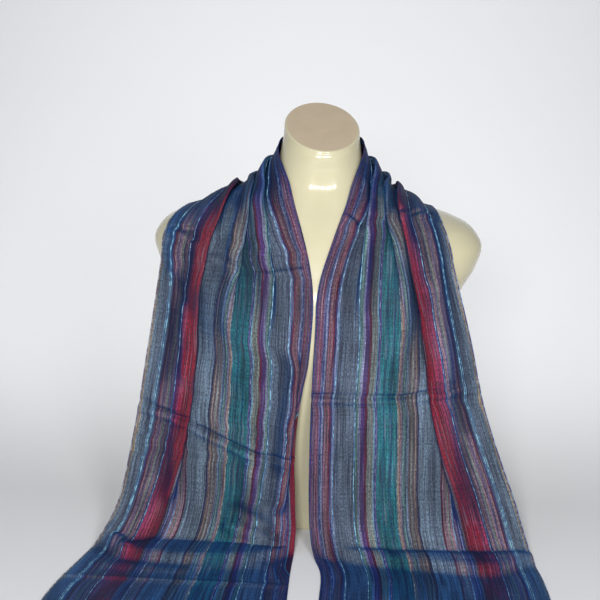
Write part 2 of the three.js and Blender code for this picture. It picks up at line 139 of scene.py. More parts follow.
def area_light(name, place, target, size, power):
    """A square soft light that points from place to target."""
    data = bpy.data.lights.new(name, "AREA")
    data.size = size
    data.energy = power
    lamp = bpy.data.objects.new(name, data)
    away = unit(np.array(place) - np.array(target))
    side = unit(np.cross([0.0, 0.0, 1.0], away))
    axes = np.array([side, np.cross(away, side), away]).T
    lamp.matrix_world = Matrix.Translation(place) @ Matrix(axes.tolist()).to_4x4()
    bpy.context.scene.collection.objects.link(lamp)


def make_backdrop():
    """A pale sheet: level round the form, curving up far behind it."""
    half_width, near, far, bend, height = 6.0, -7.0, 0.3, 1.9, 3.4
    profile = [(near, 0.0)]
    steps = 12
    for i in range(steps + 1):
        a = math.pi / 2 * i / steps
        profile.append((far + bend * math.sin(a), bend * (1 - math.cos(a))))
    profile.append((far + bend, height))
    points = [(x, y, z) for y, z in profile for x in (-half_width, half_width)]
    faces = [(2 * i, 2 * i + 1, 2 * i + 3, 2 * i + 2) for i in range(len(profile) - 1)]
    mesh = bpy.data.meshes.new("backdrop")
    mesh.from_pydata(points, [], faces)
    mesh.polygons.foreach_set("use_smooth", [True] * len(faces))
    backdrop = bpy.data.objects.new("backdrop", mesh)
    bpy.context.scene.collection.objects.link(backdrop)
    material = bpy.data.materials.new("pale_paper")
    material.use_nodes = True
    shader = material.node_tree.nodes["Principled BSDF"]
    shader.inputs["Base Color"].default_value = (0.78, 0.78, 0.79, 1.0)
    shader.inputs["Roughness"].default_value = 0.8
    mesh.materials.append(material)


make_backdrop()
area_light("key", (-0.18, -1.70, 0.84), (0.0, 0.0, 0.30), 0.26, 19.0)
area_light("fill", (0.42, -1.70, 0.80), (0.0, 0.0, 0.30), 0.36, 12.0)
area_light("top", (-0.2, -0.6, 1.7), (0.0, -0.1, 0.2), 1.0, 1.0)
area_light("wall", (0.0, 0.55, 1.25), (0.0, 2.2, 0.55), 1.8, 15.0)
world = bpy.data.worlds.new("pale_room")
world.use_nodes = True
world.node_tree.nodes["Background"].inputs["Color"].default_value = (0.92, 0.95, 1.0, 1.0)
world.node_tree.nodes["Background"].inputs["Strength"].default_value = 0.30
bpy.context.scene.world = world
print("four soft lights and a pale backdrop")

# %% [markdown]
# The form is a stack of level sections, each a rounded oval with its own half width and its own depth
# to the front and the back. A lathe would give a round body, and sculpting would not match the frame,
# so the sections are written as a short table and joined by smooth curves. Above the base of the neck
# the sections tilt forward and turn a little, up to the cut face of the neck. A shallow hollow marks
# the throat.

# %% Sizes of the form
NECK_START = 440.0
CAP_CENTRE = np.array([0.0, 3.0, 487.5])
CAP_HALF_WIDTH = 45.0
CAP_HALF_DEPTH = 58.0
CAP_TILT = 0.417
CAP_TURN = 0.11
EDGE_ROUND = 2.5
DRAPE_LEVEL = 248.0
THROAT_DEPTH = 3.0
THROAT_LEVEL = 418.0
THROAT_SIDE = 4.0
THROAT_HALF_WIDTH = 11.0
THROAT_HALF_HEIGHT = 34.0

FORM_COLUMNS = ("z", "half", "front", "back", "square")
FORM_ROWS = (
    (0, 132, 77, 74, 2.3),
    (60, 136, 83, 78, 2.3),
    (130, 145, 96, 84, 2.3),
    (200, 156, 110, 90, 2.3),
    (250, 164, 116, 94, 2.35),
    (300, 177, 108, 96, 2.5),
    (330, 193, 97, 94, 2.6),
    (352, 199, 88, 90, 2.6),
    (372, 188, 79, 85, 2.4),
    (388, 158, 70, 79, 2.1),
    (400, 108, 62, 73, 2.0),
    (412, 72, 55, 67, 2.0),
    (426, 56, 50, 62, 2.0),
    (445, 50, 49, 58, 2.0),
    (462, 49, 51, 58, 2.0),
    (485, 47, 52, 58, 2.0),
    (520, 46, 52, 58, 2.0),
)


def columns(names, rows):
    """Rows of numbers as named columns."""
    return dict(zip(names, np.array(rows, float).T))


FORM = columns(FORM_COLUMNS, FORM_ROWS)


def form_section(z):
    """Half width, depths and squareness of the form at height z."""
    return {name: curve_at(FORM["z"], FORM[name], z) for name in FORM_COLUMNS[1:]}


def outside_form(p):
    """Above zero outside the form. Cloth hangs straight below the fullest part of the chest."""
    s = form_section(np.maximum(p[..., 2], DRAPE_LEVEL))
    depth = np.where(p[..., 1] < 0, s["front"], s["back"])
    total = (np.abs(p[..., 0]) / s["half"]) ** s["square"] + (np.abs(p[..., 1]) / depth) ** s["square"]
    return total ** (1 / s["square"]) - 1


print("the form has", len(FORM_ROWS), "level sections")


# %% [markdown]
# One mesh from rings: many more rings than the frame's solid has, so that highlights run smoothly
# over the plastic. The rounded edges at the base and round the cut neck are quarter circles, because
# a moulded part never has a sharp edge.

# %% The form's mesh
FORM_AROUND = 144


def form_ring(half, front, back, square, centre, tilt, turn):
    """One ring of the form, tilted and turned about its own centre."""
    angle = np.linspace(0, 2 * math.pi, FORM_AROUND, endpoint=False)
    c, s = np.cos(angle), np.sin(angle)
    x = half * np.sign(c) * np.abs(c) ** (2 / square)
    y = np.where(s < 0, front, back) * np.sign(s) * np.abs(s) ** (2 / square)
    z = np.zeros_like(x)
    y, z = y * math.cos(tilt) - z * math.sin(tilt), y * math.sin(tilt) + z * math.cos(tilt)
    x, y = x * math.cos(turn) - y * math.sin(turn), x * math.sin(turn) + y * math.cos(turn)
    ring = np.stack([x, y, z], axis=-1) + centre
    sideways = (ring[:, 0] - THROAT_SIDE) / THROAT_HALF_WIDTH
    upright = (ring[:, 2] - THROAT_LEVEL) / THROAT_HALF_HEIGHT
    hollow = THROAT_DEPTH * np.exp(-sideways**2 - upright**2)
    ring[:, 1] += np.where(ring[:, 1] < 0, hollow, 0)
    return ring


def form_rings():
    """Every ring from the base to the cut neck."""
    rings = []
    round_steps = 5
    base = {name: float(value) for name, value in form_section(0.0).items()}
    for i in range(round_steps):
        a = math.pi / 2 * i / round_steps
        back_off = EDGE_ROUND * (1 - math.sin(a))
        centre = np.array([0, 0, EDGE_ROUND * (1 - math.cos(a))])
        rings.append(form_ring(base["half"] - back_off, base["front"] - back_off,
                               base["back"] - back_off, base["square"], centre, 0, 0))
    for z in np.arange(EDGE_ROUND, NECK_START + 0.1, 3.5):
        s = form_section(z)
        rings.append(form_ring(s["half"], s["front"], s["back"], s["square"], np.array([0, 0, z]), 0, 0))
    start = {name: float(value) for name, value in form_section(NECK_START).items()}
    neck_steps = 18
    for i in range(1, neck_steps + 1):
        t = i / neck_steps
        mix = float(smooth(t))
        centre = np.array([0, 0, NECK_START]) * (1 - t) + CAP_CENTRE * t
        rings.append(form_ring(
            start["half"] + (CAP_HALF_WIDTH - start["half"]) * mix,
            start["front"] + (CAP_HALF_DEPTH - start["front"]) * mix,
            start["back"] + (CAP_HALF_DEPTH - start["back"]) * mix,
            2.0, centre, CAP_TILT * t, CAP_TURN * t))
    up = np.array([0.0, -math.sin(CAP_TILT), math.cos(CAP_TILT)])
    for i in range(1, round_steps + 1):
        a = math.pi / 2 * i / round_steps
        less = EDGE_ROUND * (1 - math.cos(a))
        rings.append(form_ring(CAP_HALF_WIDTH - less, CAP_HALF_DEPTH - less, CAP_HALF_DEPTH - less, 2.0,
                               CAP_CENTRE + up * EDGE_ROUND * math.sin(a), CAP_TILT, CAP_TURN))
    return np.array(rings)


def grid_faces(rows, across, closed=False):
    """Quads over a grid of rows by across points, as an array of four indices each."""
    wide = across if closed else across - 1
    i, j = np.meshgrid(np.arange(rows - 1), np.arange(wide), indexing="ij")
    k = (j + 1) % across
    quads = np.stack([i * across + j, i * across + k, (i + 1) * across + k, (i + 1) * across + j], axis=-1)
    return quads.reshape(-1, 4)


def mesh_object(name, points, faces, material, uvs=None):
    """A smooth-shaded object from points in millimetres and a list of faces."""
    mesh = bpy.data.meshes.new(name)
    mesh.from_pydata((np.asarray(points) * MM).tolist(), [], [list(map(int, f)) for f in faces])
    mesh.polygons.foreach_set("use_smooth", [True] * len(mesh.polygons))
    if uvs is not None:
        layer = mesh.uv_layers.new(name="cloth_uv")
        corner = np.zeros(len(mesh.loops), np.int32)
        mesh.loops.foreach_get("vertex_index", corner)
        layer.data.foreach_set("uv", np.asarray(uvs, np.float32)[corner].ravel())
    mesh.materials.append(material)
    made = bpy.data.objects.new(name, mesh)
    bpy.context.scene.collection.objects.link(made)
    return made


# %% [markdown]
# Small helpers for materials. A finish is a small graph of nodes, and these functions keep the graphs
# short: they add a node, a calculation, a mix of two colours or a fine relief, link a result to the
# shader, and fill in the shader's plain values.

# %% Node helpers
class Finish:
    """A material that is built up node by node."""

    def __init__(self, name):
        self.material = bpy.data.materials.new(name)
        self.material.use_nodes = True
        self.tree = self.material.node_tree
        self.shader = self.tree.nodes["Principled BSDF"]

    def node(self, kind, inputs=(), **settings):
        """Adds a node, sets its own settings, and fills or links its inputs."""
        made = self.tree.nodes.new(kind)
        for key, value in settings.items():
            setattr(made, key, value)
        for key, value in dict(inputs).items():
            if isinstance(value, bpy.types.NodeSocket):
                self.tree.links.new(value, made.inputs[key])
            else:
                made.inputs[key].default_value = value
        return made

    def math(self, operation, a, b=0.0):
        """The result of one calculation."""
        return self.node("ShaderNodeMath", {0: a, 1: b}, operation=operation).outputs[0]

    def scaled(self, value, factor, offset):
        """A value multiplied by a factor, plus an offset."""
        made = self.node("ShaderNodeMath", {0: value, 1: factor, 2: offset}, operation="MULTIPLY_ADD")
        return made.outputs[0]

    def mix(self, factor, a, b, blend="MIX"):
        """Two colours mixed by factor."""
        made = self.node("ShaderNodeMix", {0: factor, 6: a, 7: b}, data_type="RGBA", blend_type=blend)
        return made.outputs[2]

    def link(self, value, socket):
        """Links an output to one of the shader's own sockets."""
        self.tree.links.new(value, self.shader.inputs[socket])

    def relief(self, height, strength, distance):
        """Fine relief on the surface, from a height and the distance in metres that one unit stands for."""
        made = self.node("ShaderNodeBump", {"Height": height, "Strength": strength, "Distance": distance})
        self.link(made.outputs["Normal"], "Normal")

    def fill(self, values):
        """Fills in the shader's plain values."""
        for socket, value in values.items():
            self.shader.inputs[socket].default_value = value


def colour(red, green, blue):
    """A colour given as it looks on a screen, 0 to 255, turned into the linear values that nodes use."""
    def linear(value):
        v = value / 255
        return v / 12.92 if v <= 0.04045 else ((v + 0.055) / 1.055) ** 2.4
    return (linear(red), linear(green), linear(blue), 1.0)


# %% [markdown]
# The form's plastic is cream, glossy and a little translucent. It is moulded, so its gloss is broken
# by very slight waves, and handling leaves faint dull patches. The cut face of the neck is a flat cap
# that was painted matt beige, so it gets a finish of its own on the same mesh.

# %% Plastic finishes
def cream_plastic():
    """Glossy cream plastic with faint waves and dull patches."""
    f = Finish("cream_plastic")
    place = f.node("ShaderNodeTexCoord").outputs["Object"]
    patches = f.node("ShaderNodeTexNoise", {"Vector": place, "Scale": 9.0, "Detail": 3.0})
    tint = f.node("ShaderNodeValToRGB", {"Fac": patches.outputs["Fac"]})
    tint.color_ramp.elements[0].color = colour(196, 189, 156)
    tint.color_ramp.elements[0].position = 0.3
    tint.color_ramp.elements[1].color = colour(206, 199, 168)
    tint.color_ramp.elements[1].position = 0.7
    f.link(tint.outputs["Color"], "Base Color")
    f.link(f.scaled(patches.outputs["Fac"], 0.12, 0.18), "Roughness")
    waves = f.node("ShaderNodeTexNoise", {"Vector": place, "Scale": 22.0, "Detail": 1.0})
    f.relief(waves.outputs["Fac"], 0.12, 0.002)
    f.fill({"Coat Weight": 0.35, "Coat Roughness": 0.08, "Subsurface Weight": 0.08,
            "Subsurface Radius": (0.02, 0.015, 0.01)})
    return f.material


def neck_cap_paint():
    """Matt beige paint on the cut face of the neck."""
    f = Finish("neck_cap_paint")
    place = f.node("ShaderNodeTexCoord").outputs["Object"]
    grain = f.node("ShaderNodeTexNoise", {"Vector": place, "Scale": 60.0, "Detail": 4.0})
    tint = f.mix(grain.outputs["Fac"], colour(186, 168, 142), colour(202, 184, 158))
    f.link(tint, "Base Color")
    f.fill({"Roughness": 0.55})
    f.relief(grain.outputs["Fac"], 0.15, 0.0005)
    return f.material


# %% [markdown]
# Now the form itself. The cap's face is closed by rings that shrink to a point, which gives it a clean
# fan of faces instead of one many-sided face, and the base is closed the same way.

# %% Make the form
def make_form():
    """The whole dress form as one closed mesh."""
    rings = form_rings()
    count = len(rings)
    points = rings.reshape(-1, 3)
    faces = grid_faces(count, FORM_AROUND, closed=True).tolist()
    body_faces = len(faces)
    centre_low = rings[0].mean(axis=0)
    centre_high = rings[-1].mean(axis=0)
    points = np.vstack([points, centre_low, centre_high])
    low, high = len(points) - 2, len(points) - 1
    top = (count - 1) * FORM_AROUND
    for i in range(FORM_AROUND):
        k = (i + 1) % FORM_AROUND
        faces.append([low, k, i])
        faces.append([high, top + i, top + k])
    form = mesh_object("dress_form", points, faces, cream_plastic())
    form.data.materials.append(neck_cap_paint())
    for polygon in form.data.polygons[body_faces:]:
        polygon.use_smooth = False
        if polygon.center.z > NECK_START * MM:
            polygon.material_index = 1
    return form


form = make_form()
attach(form, "root")
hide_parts("display_form")
print("dress form:", len(form.data.polygons), "faces")

# %% [markdown]
# The scarf could be dropped on the form by cloth simulation, but the picture shows definite pleats at
# definite places, and a simulation would put them elsewhere. So the cloth is laid out as a window
# dresser does: a table says where the folded edge and the free edge run, section by section,
# and how much cloth each pleat hides there. A simulation would also stretch the cloth, and this way
# its width stays true.

# %% Sizes of the scarf
FOLDED_WIDTH = 257.0
HALF_LENGTH = 872.0
WALL = 2.2
LAY_CLEARANCE = 1.7
FOLD_TURN = 3.04
PLEAT_STRAIGHT = 1.5
SETTLE = 20.0
TREAD_HEIGHT = 9.0
STEP_WIDTH = 20.0
PLEAT_PLACES = {"roll": 14.0, "inside": 50.0, "middle": 106.0, "deep": 177.0}

SCARF_COLUMNS = ("v", "innerX", "innerY", "innerZ", "outerX", "outerY", "outerZ",
                 "roll", "inside", "middle", "deep", "radius", "sag")
SCARF_ROWS = (
    (-872, -30, -392, 0, -287, -392, 0, 0, 0, 0, 0, 2.2, 0),
    (-740, -25, -262, 0, -288, -262, 0, 0, 0, 0, 0, 2.2, 0),
    (-655, -21, -178, 0, -266, -176, 0, 0, 0, 0, 0, 2.2, 0),
    (-615, -18, -142, 6, -252, -134, 6, 0, 0, 0, 0, 2.2, 0),
    (-585, -17, -130, 32, -236, -110, 32, 0, 0, 0, 0, 2.2, 0),
    (-572, -18, -129, 44, -231, -105, 45, 0, 0, 0, 0, 2.2, 0),
    (-550, -19, -128, 64, -225, -99, 68, 8, 0, 0, 8, 2.2, 0),
    (-500, -21, -126, 112, -216, -90, 118, 16, 0, 0, 24, 2.2, 0),
    (-440, -18, -123, 170, -206, -78, 180, 18, 0, 0, 34, 2.2, 0),
    (-412, -14, -121, 198, -203, -72, 208, 14, 0, 0, 34, 2.2, 0),
    (-385, -9, -118, 225, -199, -66, 236, 9, 0, 0, 32, 2.2, 0),
    (-360, -7, -115, 250, -195, -62, 262, 0, 0, 0, 33, 2.2, 0),
    (-345, -6, -112, 266, -193, -59, 278, 0, 2, 2, 34, 2.0, 0),
    (-320, -5, -107, 292, -190, -55, 304, 0, 4, 5, 33, 2.0, 0),
    (-290, -7, -101, 321, -186, -51, 331, 0, 6, 15, 30, 2.0, 0),
    (-262, -12, -91, 347, -182, -44, 352, 0, 8, 28, 30, 2.0, 0),
    (-230, -21, -77, 378, -177, -30, 371, 0, 18, 40, 38, 2.0, 0),
    (-195, -30, -59.5, 405, -169, -10, 385, 0, 25, 48, 46, 2.0, 8),
    (-160, -38, -37.5, 431, -155, 20, 388, 0, 30, 50, 50, 2.0, 14),
    (-125, -45, -12, 456, -134, 56, 366, 0, 28, 40, 46, 2.0, 10),
    (-85, -48, 20, 472, -97, 90, 336, 0, 24, 32, 40, 2.0, 0),
    (-45, -33, 51, 468, -50, 107, 318, 0, 22, 26, 36, 2.0, 0),
    (0, 0, 63, 465, 0, 110, 312, 0, 22, 24, 36, 2.0, 0),
    (45, 33, 51, 469, 48, 106, 319, 0, 22, 26, 38, 2.0, 0),
    (85, 48, 20, 475, 92, 90, 338, 0, 26, 32, 44, 2.0, 0),
    (125, 46, -12, 462, 124, 58, 366, 0, 34, 38, 48, 2.0, 10),
    (160, 38, -36, 433, 136, 18, 386, 0, 38, 42, 60, 2.0, 14),
    (195, 31, -56, 407, 137, -14, 389, 0, 32, 41, 62, 2.0, 8),
    (230, 21, -74, 381, 143, -42, 378, 0, 22, 34, 66, 2.0, 0),
    (262, 11, -90, 353, 151, -62, 359, 0, 10, 18, 68, 2.0, 0),
    (290, 3, -102, 327, 160, -73, 331, 0, 5, 10, 70, 2.0, 0),
    (320, -1, -108, 298, 169, -77, 302, 0, 3, 4, 67, 2.0, 0),
    (345, -1, -113, 274, 176, -80, 278, 0, 1, 1, 63, 2.0, 0),
    (385, -2, -119, 236, 187, -84, 238, 0, 0, 0, 56, 2.2, 0),
    (435, -3, -123, 188, 198, -90, 188, 0, 0, 0, 46, 2.2, 0),
    (500, -3, -127, 123, 220, -102, 123, 0, 0, 0, 28, 2.2, 0),
    (555, -2, -131, 68, 242, -114, 68, 0, 0, 0, 8, 2.2, 0),
    (600, 1, -137, 24, 257, -126, 24, 0, 0, 0, 0, 2.2, 0),
    (625, 5, -151, 6, 263, -143, 6, 0, 0, 0, 0, 2.2, 0),
    (655, 12, -178, 0, 267, -174, 0, 0, 0, 0, 0, 2.2, 0),
    (740, 11, -262, 0, 268, -262, 0, 0, 0, 0, 0, 2.2, 0),
    (872, 8, -392, 0, 265, -392, 0, 0, 0, 0, 0, 2.2, 0),
)
STEP_COLUMNS = ("across", "left", "right")
STEP_ROWS = (
    (0, -150, -147),
    (0.2, -181, -170),
    (0.5, -186, -181),
    (0.75, -178, -189),
    (1, -140, -160),
)
SCARF = columns(SCARF_COLUMNS, SCARF_ROWS)
STEP = columns(STEP_COLUMNS, STEP_ROWS)
print("the scarf is cut", 2 * FOLDED_WIDTH, "by", 2 * HALF_LENGTH, "mm")


# %% [markdown]
# The ground line is where one section of cloth would lie with no pleats: a line that sags from the
# folded edge to the free edge, pushed off the form wherever it would cut into it, and smoothed as
# cloth is, which bridges hollows. Every section of the scarf is worked out in one go, as arrays.

# %% Ground lines
GROUND_STEPS = 24


def push_clear(points, clearance):
    """Moves points straight away from the form until they clear it."""
    probe, passes, longest = 0.5, 6, 12.0
    p = points.copy()
    for _ in range(passes):
        gradient = np.zeros_like(p)
        for axis in range(3):
            ahead, behind = p.copy(), p.copy()
            ahead[..., axis] += probe
            behind[..., axis] -= probe
            gradient[..., axis] = (outside_form(ahead) - outside_form(behind)) / (2 * probe)
        steepness = np.linalg.norm(gradient, axis=-1)
        missing = np.clip(clearance - outside_form(p) / steepness, 0, longest)
        p = p + gradient * (missing / steepness)[..., None]
    return p


def scarf_section(v):
    """The table's values at each place along the cloth."""
    values = {}
    for name in SCARF_COLUMNS[1:]:
        is_place = name.startswith(("inner", "outer"))
        values[name] = curve_at(SCARF["v"], SCARF[name], v, free=is_place)
    return values


def ground_lines(section):
    """The line that each section lies on, and the distance along it."""
    inner = np.stack([section["innerX"], section["innerY"], section["innerZ"]], axis=-1)
    outer = np.stack([section["outerX"], section["outerY"], section["outerZ"]], axis=-1)
    t = np.linspace(0, 1, GROUND_STEPS + 1)[None, :, None]
    line = inner[:, None, :] * (1 - t) + outer[:, None, :] * t
    line[..., 2] -= section["sag"][:, None] * 4 * t[..., 0] * (1 - t[..., 0])

    def cleared(points):
        high = points[..., 2:3] > TREAD_HEIGHT
        return np.where(high, push_clear(points, LAY_CLEARANCE + WALL / 2), points)

    line = cleared(line)
    smoothings = 5
    for _ in range(smoothings):
        soft = line.copy()
        soft[:, 1:-1] = (2 * line[:, 1:-1] + line[:, :-2] + line[:, 2:]) / 4
        line = soft
    line = cleared(line)
    reach = np.cumsum(np.linalg.norm(np.diff(line, axis=1), axis=-1), axis=1)
    return line, np.concatenate([np.zeros((len(line), 1)), reach], axis=1)


def on_lines(line, reach, share):
    """Points at a share of each line's length. share has one row for each line."""
    target = share * reach[:, -1:]
    i = (reach[:, None, 1:-1] < target[:, :, None]).sum(axis=-1)
    row = np.arange(len(line))[:, None]
    t = (target - reach[row, i]) / (reach[row, i + 1] - reach[row, i])
    return line[row, i] * (1 - t[..., None]) + line[row, i + 1] * t[..., None]


# %% [markdown]
# A pleat is an S in the cross section: the cloth turns back on itself, runs back, and turns forward
# again. Its two turns are arcs, so the fold stays round. The path below walks across the cloth in
# pieces of constant bending, and past each pleat it lets the cloth sink to the ground line again.

# %% Pleats across the cloth
TURN_STEPS = 6
STRAIGHT_STEPS = 5
FLAT_STEP = 4.6


def pleat_shape(hidden, radius):
    """The turn at a pleat's edges, the length of each turn, and the straight length between them."""
    bend = radius * FOLD_TURN

    def lost(turn):
        safe = np.maximum(turn, 1e-4)
        in_bends = np.where(turn < 1e-4, 0.0, 2 * bend * (1 - np.sin(safe) / safe))
        return in_bends, in_bends + PLEAT_STRAIGHT * (1 - np.cos(turn))

    full = np.full_like(hidden, FOLD_TURN)
    in_bends, least = lost(full)
    low, high = np.zeros_like(hidden), full.copy()
    halvings = 20
    for _ in range(halvings):
        middle = (low + high) / 2
        less = lost(middle)[1] < hidden
        low = np.where(less, middle, low)
        high = np.where(less, high, middle)
    turned = hidden >= least
    straight = np.where(turned, (hidden - in_bends) / (1 - math.cos(FOLD_TURN)), PLEAT_STRAIGHT)
    return np.where(turned, FOLD_TURN, low), bend, straight


def cross_pieces(section):
    """The pieces of each section's path as (lengths, turns, steps, mark)."""
    pieces = []
    at = np.zeros_like(section["radius"])
    last_place = 0.0
    for name, place in PLEAT_PLACES.items():
        turn, bend, straight = pleat_shape(section[name], section["radius"])
        reach = straight / 2 + bend
        steps = max(2, round((place - last_place) / FLAT_STEP) - 3)
        pieces.append((place - reach - at, 0 * turn, steps, None))
        pieces.append((bend, turn, TURN_STEPS, "starts"))
        pieces.append((straight, 0 * turn, STRAIGHT_STEPS, None))
        pieces.append((bend, -turn, TURN_STEPS, "ends"))
        at = place + reach
        last_place = place
    steps = round((FOLDED_WIDTH - last_place) / FLAT_STEP)
    pieces.append((FOLDED_WIDTH - at, 0 * at, steps, None))
    return pieces


def cross_paths(section):
    """For each section: the place on the cloth, and the place along and height over the ground line."""
    zero = np.zeros_like(section["radius"])
    cloth, along, high = [zero], [zero], [zero]
    angle = zero
    rises = []
    low = past = None
    for length, turn, steps, mark in cross_pieces(section):
        if mark == "starts":
            low, past = high[-1], along[-1]
        for _ in range(steps):
            part, bend = length / steps, turn / steps
            flat = np.abs(bend) < 1e-6
            chord = np.where(flat, part, 2 * np.sin(bend / 2) * part / np.where(flat, 1.0, bend))
            heading = angle + bend / 2
            cloth.append(cloth[-1] + part)
            along.append(along[-1] + chord * np.cos(heading))
            high.append(high[-1] + chord * np.sin(heading))
            angle = angle + bend
            if past is not None:
                past = np.maximum(past, along[-1])
        if mark == "ends":
            rises.append((past, high[-1] - low))
            past = None
    cloth, along, high = (np.stack(x, axis=1) for x in (cloth, along, high))
    for past, rise in rises:
        high = high - rise[:, None] * smooth((along - past[:, None]) / SETTLE)
    return cloth, along, high


# %% [markdown]
# Ground lines and pleats together give the middle surface of the folded cloth: a grid with one row
# for each section along the scarf and one column for each place across it. Where the tails meet the
# table they buckle into a low tread that ends in a step, as thick cloth does when it turns a corner.

# %% The middle surface
def tread_lift(y, across, v):
    """Height of the tread on the table."""
    left = curve_at(STEP["across"], STEP["left"], across)
    right = curve_at(STEP["across"], STEP["right"], across)
    edge = np.where(v < 0, left, right)
    return TREAD_HEIGHT * smooth((y - edge) / STEP_WIDTH)


def flat_ribs(v):
    """Points on the ground, directions along the ground line, heights and places on the cloth."""
    section = scarf_section(v)
    cloth, along, high = cross_paths(section)
    line, reach = ground_lines(section)
    share = along / along[:, -1:]
    probe = 0.02
    point = on_lines(line, reach, share)
    tangent = unit(on_lines(line, reach, share + probe) - on_lines(line, reach, share - probe))
    lift = WALL / 2 + tread_lift(point[..., 1], cloth / FOLDED_WIDTH, v[:, None])
    near_table = point[..., 2] < TREAD_HEIGHT * 2
    point[..., 2] = np.where(near_table, np.maximum(point[..., 2], lift), point[..., 2])
    return point, tangent, high, cloth


def middle_surface(v):
    """The middle surface with its pleats raised, the place on the cloth, and the way off the form."""
    nudge = 1.5
    before = flat_ribs(v - nudge)[0].mean(axis=1)
    after = flat_ribs(v + nudge)[0].mean(axis=1)
    point, tangent, high, cloth = flat_ribs(v)
    forward = unit(after - before)[:, None, :]
    out = unit(np.cross(forward, tangent))
    return point + out * high[..., None], cloth, out


def surface_normals(points):
    """Directions square to a grid surface, facing away from the form."""
    return unit(np.cross(np.gradient(points, axis=0), np.gradient(points, axis=1)))


ALONG_STEP = 5.2
CREASE_STEP = 1.7
CREASE_REACH = 11.0
END_INSET = 0.5
CREASE_PLACES = (-689, -498, -478, -463, -279, -248, 220, 430, 832)


def rib_places():
    """The places of the ribs, closer together where a sharp crease crosses."""
    end = HALF_LENGTH - END_INSET
    places = [-end]
    while places[-1] < end:
        near = min(abs(places[-1] - crease) for crease in CREASE_PLACES) < CREASE_REACH
        places.append(places[-1] + (CREASE_STEP if near else ALONG_STEP))
    places[-1] = end
    return np.array(places)


rib_v = rib_places()
middle, cloth_s, way_out = middle_surface(rib_v)
print("middle surface:", middle.shape[0], "ribs of", middle.shape[1], "points")

# %% [markdown]
# Cloth that was folded away in a drawer keeps its creases, about 200 mm apart. Each shows as a
# thin trough with a low round ridge beside it, and it runs a little aslant. Cloth that lands on a
# table bunches, and cloth that hangs swells here and there. All of these are listed one by one: where on
# the cloth each one starts and ends, its height (below zero for a trough) and how wide it is. They
# move the middle surface, so both layers follow. Past each storage crease the stripes also step aside
# a little, as they do where cloth was pressed on a slant. How deep each place lies below its neighbours
# is kept too: the finish paints shade into the valleys with it, a dark blue that stands in for the
# light that does not get into the folds.
# The hanging free edge is smoothed along its length first, because the pleats leave it a little jagged.

# %% Creases and soft folds
LAYER_OFFSET = 0.55
SHEET_CLEARANCE = 1.0
FREE_EDGE_START, FREE_EDGE_FADE = 222, 25
HANG_END, HANG_FADE = 560, 60
TABLE_START, TABLE_FADE = 600, 40
FREE_EDGE_PASSES = 45
CALM_IN_PLEATS = 0.8
CALM_ON_TABLE = 0.6
HOLLOW_PASSES = 30
HOLLOW_SOFTENING = 3
HOLLOW_FULL = 2.6
CREASE_STRENGTH = 2.0
# Each row: where it starts, across and along the cloth, where it ends, its depth and its width.
STORAGE_CREASES = (
    (0, -694, 257, -684, 1.0, 3.0),
    (0, -498, 66, -499, 1.7, 2.6),
    (66, -499, 148, -473, 1.9, 2.6),
    (160, -469, 257, -457, 1.7, 2.6),
    (8, -270, 78, -288, 1.8, 2.6),
    (114, -282, 154, -268, 1.3, 2.6),
    (200, -257, 245, -240, 1.5, 2.6),
    (0, -62, 257, -70, 0.9, 3.0),
    (0, 24, 257, 16, 0.9, 3.0),
    (6, 208, 32, 232, 1.2, 2.6),
    (186, 222, 250, 214, 0.9, 3.0),
    (0, 430, 110, 435, 2.1, 2.6),
    (110, 435, 186, 424, 1.8, 2.6),
    (192, 427, 257, 420, 1.6, 2.6),
    (0, 836, 257, 829, 1.0, 3.0),
)
# Each row: where it starts, across and along the cloth, where it ends, its height and its width.
SOFT_FOLDS = (
    (214, -335, 197, -420, 5.0, 7.0),
    (236, -345, 232, -430, -3.0, 6.0),
    (40, -300, 62, -372, -2.5, 12.0),
    (84, -512, 78, -600, -4.5, 6.0),
    (48, -525, 46, -590, 7.0, 24.0),
    (98, -590, 34, -606, 11.0, 7.0),
    (92, -570, 32, -588, -6.0, 8.0),
    (60, -610, 16, -614, -4.0, 5.0),
    (30, -590, 4, -604, 6.0, 6.0),
    (150, -520, 138, -590, 4.0, 16.0),
    (222, -545, 212, -600, 4.0, 14.0),
    (252, -598, 206, -640, 6.0, 8.0),
    (226, -628, 182, -600, -4.0, 5.0),
    (30, -652, 120, -664, 2.2, 7.0),
    (120, -672, 240, -660, 2.0, 8.0),
    (40, -760, 200, -742, 1.4, 16.0),
    (20, -540, 22, -420, 2.0, 9.0),
    (66, 185, 66, 330, -3.5, 5.0),
    (94, 190, 93, 330, 3.0, 10.0),
    (150, 330, 147, 420, -2.0, 12.0),
    (28, 300, 30, 420, 2.0, 14.0),
    (120, 450, 112, 590, 3.0, 18.0),
    (60, 470, 56, 590, -2.5, 14.0),
    (176, 460, 182, 590, -3.0, 12.0),
    (228, 480, 232, 585, 3.0, 12.0),
    (2, 608, 20, 648, -3.0, 5.0),
    (26, 618, 90, 626, 2.4, 6.0),
    (100, 628, 190, 634, 2.2, 6.0),
    (200, 632, 252, 622, 2.4, 6.0),
    (60, 720, 220, 738, 1.4, 16.0),
    (70, -180, 66, -320, 3.5, 6.0),
    (80, -165, 78, -300, -4.0, 5.0),
    (136, -175, 138, -300, -4.5, 5.0),
    (152, -165, 160, -320, 4.0, 8.0),
    (208, -160, 210, -310, -4.0, 6.0),
    (228, -150, 234, -300, 3.5, 7.0),
    (18, 150, 20, 270, 3.0, 6.0),
    (74, 165, 74, 300, -4.0, 5.0),
    (134, 150, 136, 300, -4.0, 5.0),
    (148, 165, 152, 310, 4.0, 8.0),
    (212, 150, 214, 300, -4.0, 6.0),
    (234, 150, 238, 280, 3.5, 7.0),
    (120, -150, 128, -40, 2.0, 9.0),
    (130, 40, 122, 140, 2.0, 9.0),
    (230, -30, 226, 60, -1.6, 10.0),
)


